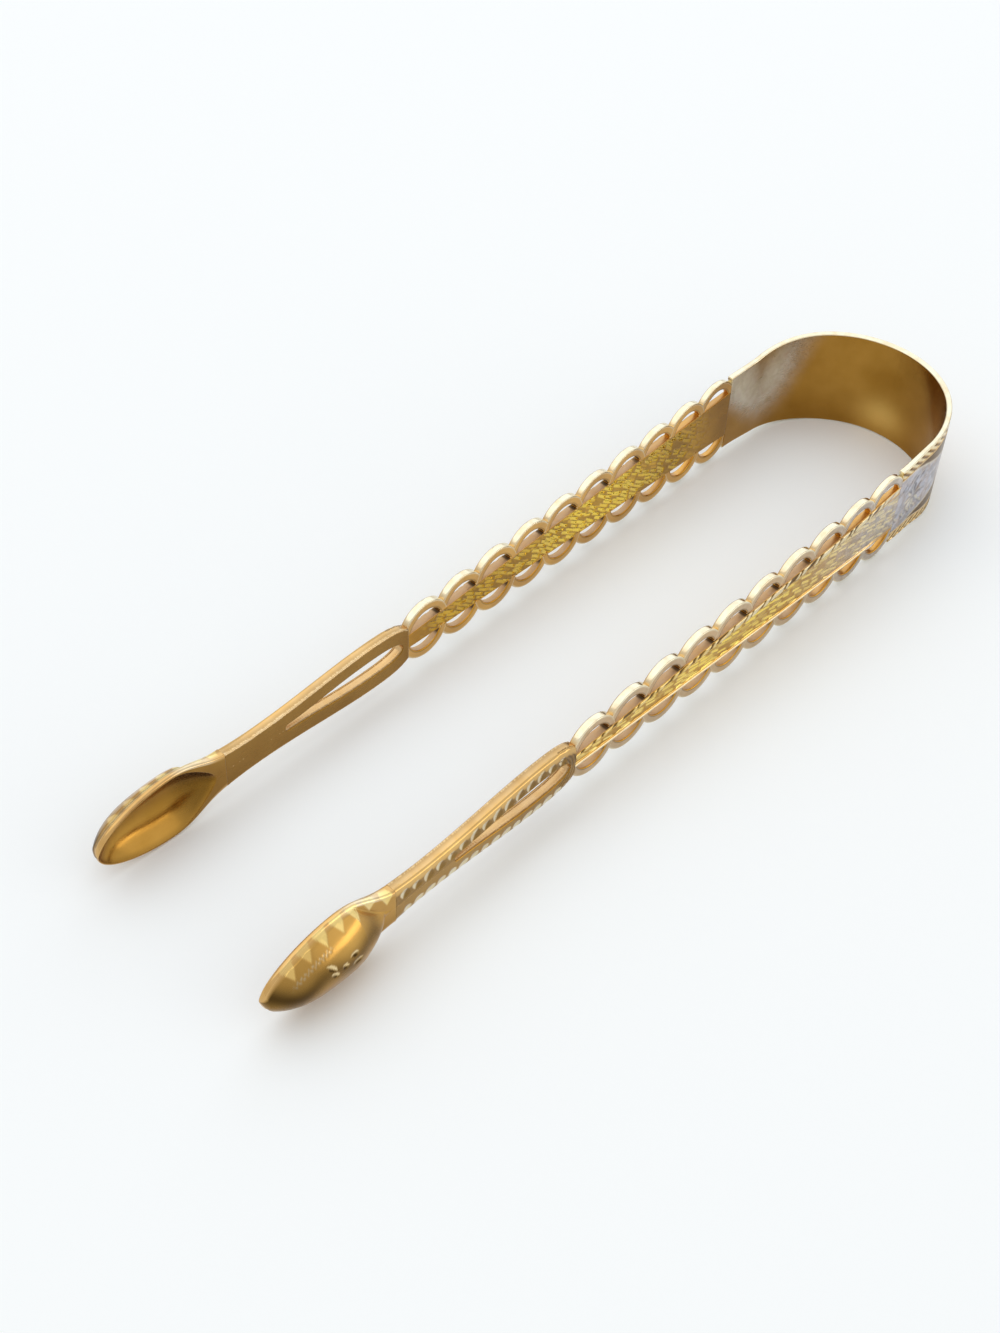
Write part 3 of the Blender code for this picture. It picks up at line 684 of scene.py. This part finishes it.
def shankGrid():
    # Half the shank, from the slot's wall or the middle line out to the edge: a ring of width and thickness
    # carried along x, with more steps at both ends of the slot. part counts from the inner face (0) round the
    # outer side (2) and the outer face (4) to the slot's wall (6), with the rounded corners between them.
    start, tail = -shank["slotStart"], -shank["slotEnd"] + shank["slotTail"]
    ease = np.linspace(0.0, 1.0, 40) ** 2
    x = np.concatenate([np.linspace(placing["lap"], start + 0.02, 8), start - 1.5 * ease,
                        np.linspace(start - 1.6, tail + 0.05, shank["steps"]),
                        tail + shank["slotTail"] * (ease[::-2] - 1),
                        np.linspace(tail - 0.6, -shank["length"] - placing["lap"], 90)])[:, None]
    outer, slot, thick = shankHalf(x), slotHalf(x), shank["thick"]
    rLow, rFace, rIn = shank["edge"], shank["faceEdge"], np.minimum(shank["slotEdge"], slot)
    broad = shank["faceRound"]
    lowZ = slot + rIn
    faceU = np.linspace(0.0, 1.0, 25)[None, :]
    bend = np.linspace(0.0, math.pi / 2, 7)[None, :]
    thin = np.linspace(0.0, 1.0, 5)[None, :]
    zero = 0 * x
    filed = shank["fileDeep"] * saw(x / shank["filePitch"]) * smooth(0.2, 0.6, slot)
    parts = [
        (lowZ + (outer - rLow - lowZ) * faceU, zero + 0 * faceU),
        (outer - rLow + rLow * np.sin(bend), zero + rLow * (1 - np.cos(bend))),
        (outer + 0 * thin, zero + rLow + (thick - rLow - rFace) * thin),
        (outer - broad + broad * np.cos(bend), zero + thick - rFace + rFace * np.sin(bend)),
        (lowZ + (outer - broad - lowZ) * faceU[:, ::-1], zero + thick + 0 * faceU),
        (lowZ - rIn * np.sin(bend), thick - rIn * (1 - np.cos(bend))),
        (slot + filed + 0 * thin, thick - rIn - (thick - 2 * rIn) * thin),
        (lowZ - rIn * np.cos(bend), rIn * (1 - np.sin(bend))),
    ]
    z = np.concatenate([pair[0] for pair in parts], axis=1)
    n = np.concatenate([pair[1] for pair in parts], axis=1)
    part = np.concatenate([np.full(pair[0].shape[1], k) for k, pair in enumerate(parts)])
    return x, n, z, part, slot


def shankCuts(x, z, upper):
    # Upper bar: a row of leaf cuts; lower bar: nicks along the edge, both of uneven length. Round the slot's
    # crown run arcs, a saw of the distance from a middle.
    kind = "tick" if upper else "nick"
    long, wide, lean, deep = shank[kind]
    spots = -np.arange(shank[kind + "From"], shank["length"] - 0.6, shank[kind + "Pitch"])
    half = shankHalf(spots)
    inset = np.clip((half - slotHalf(spots)) * 0.62, 1.1, 1.5) if upper else shank["nickIn"]
    vary = 0.7 + 0.5 * chance(np.arange(len(spots)), 0, 2 if upper else 5)
    rows = zip(spots, half - inset, long * vary)
    cuts, tilt = graverCuts(x, z, [(spotX, spotZ, own, wide, lean, deep) for spotX, spotZ, own in rows])
    away = np.hypot(x - shank["arcX"], z)
    arcs = (1 - saw(away / shank["arcPitch"])) * smooth(1.8, 2.0, away) * smooth(-3.6, -2.6, x)
    return cuts, tilt, arcs


def shankWear(part, n, inset, cut, light, arcs, upper):
    # One facet of each cut gets a painted highlight and the other painted shade. Film lies on the outer face
    # between the cuts; painted shade lies on the inner face, which faces the other arm, and along the inner
    # half of the sides.
    face = (part == 3) | (part == 4)
    rub = sum((part == k) * share for k, share in shank["partRub"].items())
    film = face * (shank["upperFilm"] * smooth(0.8, 1.2, inset) if upper else shank["lowerDark"])
    film = film + (part == 4) * shank["arcFilm"] * arcs + (part == 5) * shank["slotFilm"]
    # painted shade on the inner face and along the inner half of the sides
    film = film + ((part == 0) | (part == 7)) * shank["insideShade"]
    film = film + (part == 2) * shank["sideShade"] * (1 - smooth(0.25, 1.1, n))
    # one facet of each cut gets a painted highlight, the other painted shade
    film = film * (1 - cut) + shank["cutShade"] * (cut - light)
    return {"rub": rub + shank["cutPale"] * light, "film": film, "sawn": (part == 6) * shank["slotSawn"],
            "bright": face * shank["faceBright"]}


def slottedShank(side):
    # both halves from one grid, flipped in z and cut each in its own way, with one face over each end
    x, n, z, part, slot = shankGrid()
    wall = part >= 5
    shut = (slot[:-1, 0] <= 0) & (slot[1:, 0] <= 0)
    keep = ~(shut[:, None] & (wall | np.roll(wall, -1))[None, :])     # walls only where the slot is open
    place = (-panel["length"] / 2 - shank["seam"], placing["gapAtShank"], -shank["flare"])
    face = (part == 3) | (part == 4)
    store = newStore()
    for flip in (1, -1):
        cuts, tilt, arcs = shankCuts(x, z, flip > 0)
        cut = smooth(0.004, 0.03, cuts) * face
        # light marks the facet of each cut given a painted highlight
        light = cut * (smooth(-0.2, 0.2, tilt) if flip > 0 else smooth(-0.6, -0.3, tilt))
        tags = shankWear(part, n, shankHalf(x) - z, cut, light, arcs, flip > 0)
        sunk = face * (cuts + shank["arcDeep"] * arcs)
        addTube(store, onArm(x, n - sunk, flip * z, side, *place), tags, caps=False, keep=keep)
    rows, cols = z.shape
    solid = np.flatnonzero(~wall)
    for end in (0, rows - 1):
        upper = end * cols + solid
        store["caps"].append(upper.tolist() + (rows * cols + upper[::-1]).tolist())
    hand = handOf(side)
    return makePiece(hand + "_loop_shank", store, gilt, hand + "_slotted_shank", body=hand + "_arm")


for side in (1, -1):
    slottedShank(side)

bowl = {
    "length": 19.0, "half": 5.25, "wideX": 8.2, "heelHalf": 2.8, "seam": 0.1,
    "hollow": 2.6, "hollowStart": 1.6, "hollowEase": 3.2, "rimWide": 0.5,
    "rimThick": 0.85, "floorThick": 1.25, "rootThick": 1.6,
    "veeStart": 0.8, "veeLong": 5.2, "ovalLong": 6.0,
    "steps": 90, "cols": 84,
    "wedgePitch": 2.4, "wedgeFrom": 1.2, "wedgeLong": 1.9, "wedgeDeep": 0.22,
    "wriggleAt": 2.1, "wrigglePitch": 0.55, "wriggleHigh": 0.2, "wriggleWide": 0.12, "wriggleDeep": 0.05,
    # a spray of leaf cuts: place x and z, length, width, lean in degrees, depth
    "spray": ((-11.4, 1.7, 1.7, 0.8, -45, 0.16), (-11.2, 0.6, 1.5, 0.8, -35, 0.16),
              (-9.7, 0.8, 1.0, 0.9, -30, 0.16), (-8.2, 1.4, 1.4, 0.8, -5, 0.16),
              (-7.9, 0.1, 1.8, 0.8, 0, 0.16)),
    # shares of each finish and of the painted light and shade
    "backFilm": 0.16, "lowerDark": 0.1, "cloudFilm": 0.6, "noseFilm": 0.18, "leafShade": 0.45,
    "hollowFilm": 0.48, "heelShade": 0.38, "hollowClean": 0.18,
    "backRub": 0.05, "rimRub": 0.2, "shoulderRub": 0.5, "leafHighlight": 0.6, "wriggleRub": 0.45,
    "backBright": 0.06, "wedgeGlint": 0.75, "leafGlint": 0.2,
    # where cuts, finish and painted light change along the bowl, from and to
    "wedgeTo": (16.5, 17.5), "wriggleFrom": (-16.5, -15.5), "wriggleTo": (-11.0, -10.0),
    "heelFrom": (-9.0, -4.0), "heelTo": (-2.5, -0.5), "noseFrom": (10.5, 17.0), "cloudFrom": (2.0, 4.5),
    "darkFrom": (-8.5, -4.0), "shoulderFrom": (-8.5, -5.5), "shoulderTo": (-3.5, -0.5),
}


def bowlGrid():
    # Crescent sections along the bowl: a hollow inner curve, a rounded rim and a domed back. The dome starts
    # as a point on the heel and widens to the rim; the hollow starts with an oval end. At the root the rim is
    # squared off, by a power of sine and cosine, to meet the shank. part is 0 in the hollow, 2 on the back, 1
    # and 3 on the rim. deep is how far inside the hollow a point lies, and down its way from the upper rim.
    heel, wide, wideX, tipX = bowl["heelHalf"], bowl["half"], -bowl["wideX"], -bowl["length"]
    shoulder = bezierRun(((placing["lap"], heel), (-2.8, heel + 0.3), (wideX + 3.7, wide), (wideX, wide)),
                         bowl["steps"])
    nose = bezierRun(((wideX, wide), (wideX - 4.7, wide), (tipX, 3.0), (tipX, 0.02)), bowl["steps"])
    path = np.concatenate([shoulder, nose[1:]])
    x, half = path[:, :1], path[:, 1:]
    along = np.clip((-x - bowl["hollowStart"]) / (bowl["length"] - bowl["hollowStart"]), 0, 1)
    shape = 1 - np.abs(2 * along - 1) ** bowl["hollowEase"]
    fade = np.clip(-x / (0.3 * bowl["length"]), 0, 1)
    tip = np.sqrt(np.clip(half / 1.2, 0, 1))
    rim = (bowl["rootThick"] + (bowl["rimThick"] - bowl["rootThick"]) * fade) * tip
    swell = bowl["hollow"] * shape + (bowl["floorThick"] - bowl["rimThick"]) * fade * tip
    soft = np.minimum(0.45 * rim, 0.4 * half)
    oval = np.sqrt(1 - (1 - np.clip((-x - bowl["hollowStart"]) / bowl["ovalLong"], 0, 1)) ** 2)
    lip = np.maximum(np.maximum(half - bowl["rimWide"], 0.6 * half) * oval, 0.01)
    sweep = np.sin(np.linspace(-math.pi / 2, math.pi / 2, bowl["cols"] + 1))[None, :]
    zIn = (half - soft) * sweep
    sunk = np.clip(1 - np.abs(zIn / lip) ** 2.2, 0, None)
    nIn = bowl["hollow"] * shape * sunk
    bend = np.linspace(0, math.pi, 15)[None, 1:-1]
    square = np.where(bend < math.pi / 2, 0.3, 0.6)
    square = square + (1 - square) * smooth(0.0, 5.0, -x)
    zEdge = half - soft + soft * np.sin(bend) ** square
    nEdge = rim * (1 - np.sign(np.cos(bend)) * np.abs(np.cos(bend)) ** square) / 2
    zOut = (half - soft) * sweep[:, ::-1]
    dome = np.maximum(half * np.clip((-x - bowl["veeStart"]) / bowl["veeLong"], 0.02, 1), 0.01)
    nOut = rim + swell * np.clip(1 - (zOut / dome) ** 2, 0, None) ** 0.9
    z = np.concatenate([zIn, zEdge, zOut, -zEdge[:, ::-1]], axis=1)
    n = np.concatenate([nIn, nEdge, nOut, nEdge[:, ::-1]], axis=1)
    part = np.concatenate([np.full(k.shape[1], i) for i, k in enumerate((zIn, zEdge, zOut, zEdge))])
    deep = np.zeros(z.shape)
    deep[:, part == 0] = smooth(0.0, 0.25, sunk * shape)
    down = np.hypot(half - z, 0.8 * (n - rim))
    return x, n, z, part, half, deep, down


def bowlCuts(x, z, down):
    # Wedge cuts with their bases on the upper border (what is left of 0.9 - 0.9 down - the saw along it), a
    # wriggle line beside them, which is a bell about a sine, and a spray of slender leaves below.
    wedge = 0.9 - 0.9 * down / bowl["wedgeLong"] - saw((-x - bowl["wedgeFrom"]) / bowl["wedgePitch"])
    wedge = np.clip(wedge, 0, None) * (1 - smooth(*bowl["wedgeTo"], -x)) * (z > 0)
    sway = bowl["wriggleHigh"] * np.sin(x * 2 * math.pi / bowl["wrigglePitch"])
    wriggle = bell(down, bowl["wriggleAt"] + sway, bowl["wriggleWide"]) * (z > 0)
    wriggle = wriggle * smooth(*bowl["wriggleFrom"], x) * (1 - smooth(*bowl["wriggleTo"], x))
    leaves, tilt = graverCuts(x, z, bowl["spray"])
    return {"wedge": bowl["wedgeDeep"] * wedge, "wriggle": wriggle, "leaves": leaves, "tilt": tilt}


def bowlWear(cuts, x, n, z, part, half, deep):
    # The back is clouded by film along a wavy streak and towards the nose, and darkens towards its lower edge
    # as painted shade. Its wedge facets are clean and carry painted glints, no two alike and palest by the
    # heel, and each leaf has a painted highlight on one facet and painted shade on the other. The hollow has
    # painted shade by the heel, and the rim is rubbed at the shoulder.
    back = part == 2
    facet = (back | ((part == 1) & (n > 0.55))) * smooth(0.005, 0.05, cuts["wedge"])
    leaf = back * smooth(0.005, 0.03, cuts["leaves"])
    # light marks the leaf facet given a painted highlight; the other gets painted shade
    light = leaf * smooth(-0.4, -0.1, cuts["tilt"])
    cell = np.round((-x - bowl["wedgeFrom"]) / bowl["wedgePitch"])
    luck = 0.35 + 0.65 * chance(cell, 0 * cell, 8)
    heel = smooth(*bowl["heelFrom"], x) * (1 - smooth(*bowl["heelTo"], x))
    cloudy = bowl["cloudFilm"] * bell(z, 0.8 + 0.5 * np.sin(0.9 * x), 1.5)
    cloudy = (cloudy + bowl["noseFilm"] * smooth(*bowl["noseFrom"], -x)) * smooth(*bowl["cloudFrom"], -x)
    # painted shade: the back darkens towards its lower edge
    darkBack = bowl["backFilm"] + bowl["lowerDark"] * smooth(0.0, 0.8, -z / half) + cloudy
    # painted shade deep in the hollow by the heel
    darkIn = bowl["heelShade"] * smooth(*bowl["darkFrom"], x) - bowl["hollowClean"]
    darkIn = bowl["hollowFilm"] + deep * darkIn
    film = np.select([back, part == 0], [darkBack, darkIn], 0.0)
    film = film * (1 - facet) * (1 - light) + bowl["leafShade"] * (leaf - light)
    shoulder = smooth(*bowl["shoulderFrom"], x) * (1 - smooth(*bowl["shoulderTo"], x))
    rimRub = bowl["rimRub"] + bowl["shoulderRub"] * shoulder
    rub = np.select([back, part == 0], [bowl["backRub"] + 0 * z, 0 * z], rimRub)
    # painted glints on the wedge facets, palest by the heel, and a painted highlight on each leaf's lit facet
    rub = rub + (0.15 + 0.6 * heel) * facet * luck + bowl["leafHighlight"] * light
    rub = rub + back * bowl["wriggleRub"] * cuts["wriggle"]
    bright = back * bowl["backBright"] + bowl["wedgeGlint"] * facet * luck + bowl["leafGlint"] * light
    return {"rub": rub, "film": film, "bright": bright}


def spoonBowl(side):
    # the crescent grid with its back cut, set beyond the shank's end along the same slant
    x, n, z, part, half, deep, down = bowlGrid()
    cuts = bowlCuts(x, z, down)
    n = n - (part == 2) * (cuts["wedge"] + cuts["leaves"] + bowl["wriggleDeep"] * cuts["wriggle"])
    seat = shank["length"] + shank["seam"] + bowl["seam"]
    place = (-panel["length"] / 2 - seat, placing["gapAtShank"] + shank["length"] * math.tan(shank["flare"]),
             -shank["flare"])
    store = newStore()
    addTube(store, onArm(x, n, z, side, *place), bowlWear(cuts, x, n, z, part, half, deep))
    hand = handOf(side)
    return makePiece(hand + "_spoon_bowl", store, gilt, hand + "_bowl", body=hand + "_arm")


for side in (1, -1):
    spoonBowl(side)

stageLook = {
    "floor": "#f7f9f9", "floorReach": 1.2,     # metres from the middle
    "world": "#fdfeff", "worldShown": 0.86, "worldLight": 0.76,
    # direction from the tongs, distance and size in metres, brightness in a mirror, tint
    "lamps": {
        "top_softbox": ((-0.1, 0.3, 0.95), 1.3, (2.0, 1.8), 0.58, "#fcfeff"),
        "right_softbox": ((0.75, 0.35, 0.5), 1.1, (0.7, 0.8), 0.6, "#e6f0ff"),
        "front_softbox": ((0.45, -0.75, 0.45), 1.1, (1.0, 0.6), 0.2, "#fffaf0"),
        "front_strip": ((0.55, -0.83, 0.16), 1.45, (1.04, 0.29), 1.6, "#fff4e0"),
    },
}


def paintedBoard(name, hexColour):
    # matt painted board: a flat pale ground with hardly any sheen
    made = bpy.data.materials.new(name)
    made.use_nodes = True
    tree = made.node_tree
    tree.nodes.clear()
    shader = addNode(tree, "BsdfPrincipled", {"Base Color": toLinear(hexColour), "Roughness": 0.9,
                                              "Specular IOR Level": 0.1})
    addNode(tree, "OutputMaterial", {"Surface": (shader, "BSDF")})
    return made


def paleFloor():
    # a flat square under the tongs
    reach = stageLook["floorReach"]
    mesh = bpy.data.meshes.new("floor")
    corners = [(-reach, -reach, 0), (reach, -reach, 0), (reach, reach, 0), (-reach, reach, 0)]
    mesh.from_pydata(corners, [], [(0, 1, 2, 3)])
    mesh.materials.append(paintedBoard("pale_floor", stageLook["floor"]))
    floor = bpy.data.objects.new("floor", mesh)
    bpy.context.scene.collection.objects.link(floor)


def paleWorld():
    # pale to the eye and in the metal, and a plain level as light
    world = bpy.data.worlds.new("studio")
    bpy.context.scene.world = world
    world.use_nodes = True
    tree = world.node_tree
    sky = tree.nodes["Background"]
    sky.inputs["Color"].default_value = toLinear(stageLook["world"])
    seen = addNode(tree, "LightPath")
    shown = addNode(tree, "Math", {0: (seen, "Is Camera Ray"), 1: (seen, "Is Glossy Ray")},
                    operation="MAXIMUM")
    plain = stageLook["worldLight"]
    level = addNode(tree, "Math", {0: (shown, "Value"), 1: stageLook["worldShown"] - plain, 2: plain},
                    operation="MULTIPLY_ADD")
    tree.links.new(level.outputs["Value"], sky.inputs["Strength"])


def softBox(name, toward, away, size, glow, tint):
    # an oblong lamp that faces the tongs; glow is its brightness as seen in a mirror
    lamp = bpy.data.lights.new(name, "AREA")
    lamp.shape = "RECTANGLE"
    lamp.size, lamp.size_y = size
    lamp.energy = glow * math.pi * size[0] * size[1]
    lamp.color = toLinear(tint)[:3]
    made = bpy.data.objects.new(name, lamp)
    spot = Vector(toward).normalized() * away
    made.location = spot
    made.rotation_euler = (-spot).to_track_quat("-Z", "Y").to_euler()
    bpy.context.scene.collection.objects.link(made)


paleFloor()
paleWorld()
for lampName, lampSettings in stageLook["lamps"].items():
    softBox(lampName, *lampSettings)

view = {
    "azimuth": -49.10, "elevation": 45.39, "roll": 3.07,     # degrees
    "spot": np.array([-151.308, -103.965, 164.81475]),     # mm, in the tongs' frame
    "focal": 1826.0, "height": 1333.0,     # pixels
}


def placeCamera():
    # back, right and up axes from the two angles, rolled about back, in the tongs' frame
    az, el, roll = (math.radians(view[key]) for key in ("azimuth", "elevation", "roll"))
    back = np.array([math.sin(az) * math.cos(el), -math.cos(az) * math.cos(el), math.sin(el)])
    right = np.array([math.cos(az), math.sin(az), 0.0])
    up = np.cross(back, right)
    axes = np.stack([math.cos(roll) * right + math.sin(roll) * up,
                     -math.sin(roll) * right + math.cos(roll) * up, back]) @ turnToRow
    camera = bpy.data.cameras.new("camera")
    camera.sensor_fit = "VERTICAL"
    camera.sensor_height = 36.0
    camera.lens = view["focal"] * camera.sensor_height / view["height"]
    camera.clip_start = 0.01
    made = bpy.data.objects.new("camera", camera)
    bpy.context.scene.collection.objects.link(made)
    place = Matrix(axes.T.tolist()).to_4x4()
    place.translation = toRow(view["spot"])
    made.matrix_world = place
    bpy.context.scene.camera = made


placeCamera()
bpy.context.scene.view_settings.view_transform = "Standard"
print("stage set")
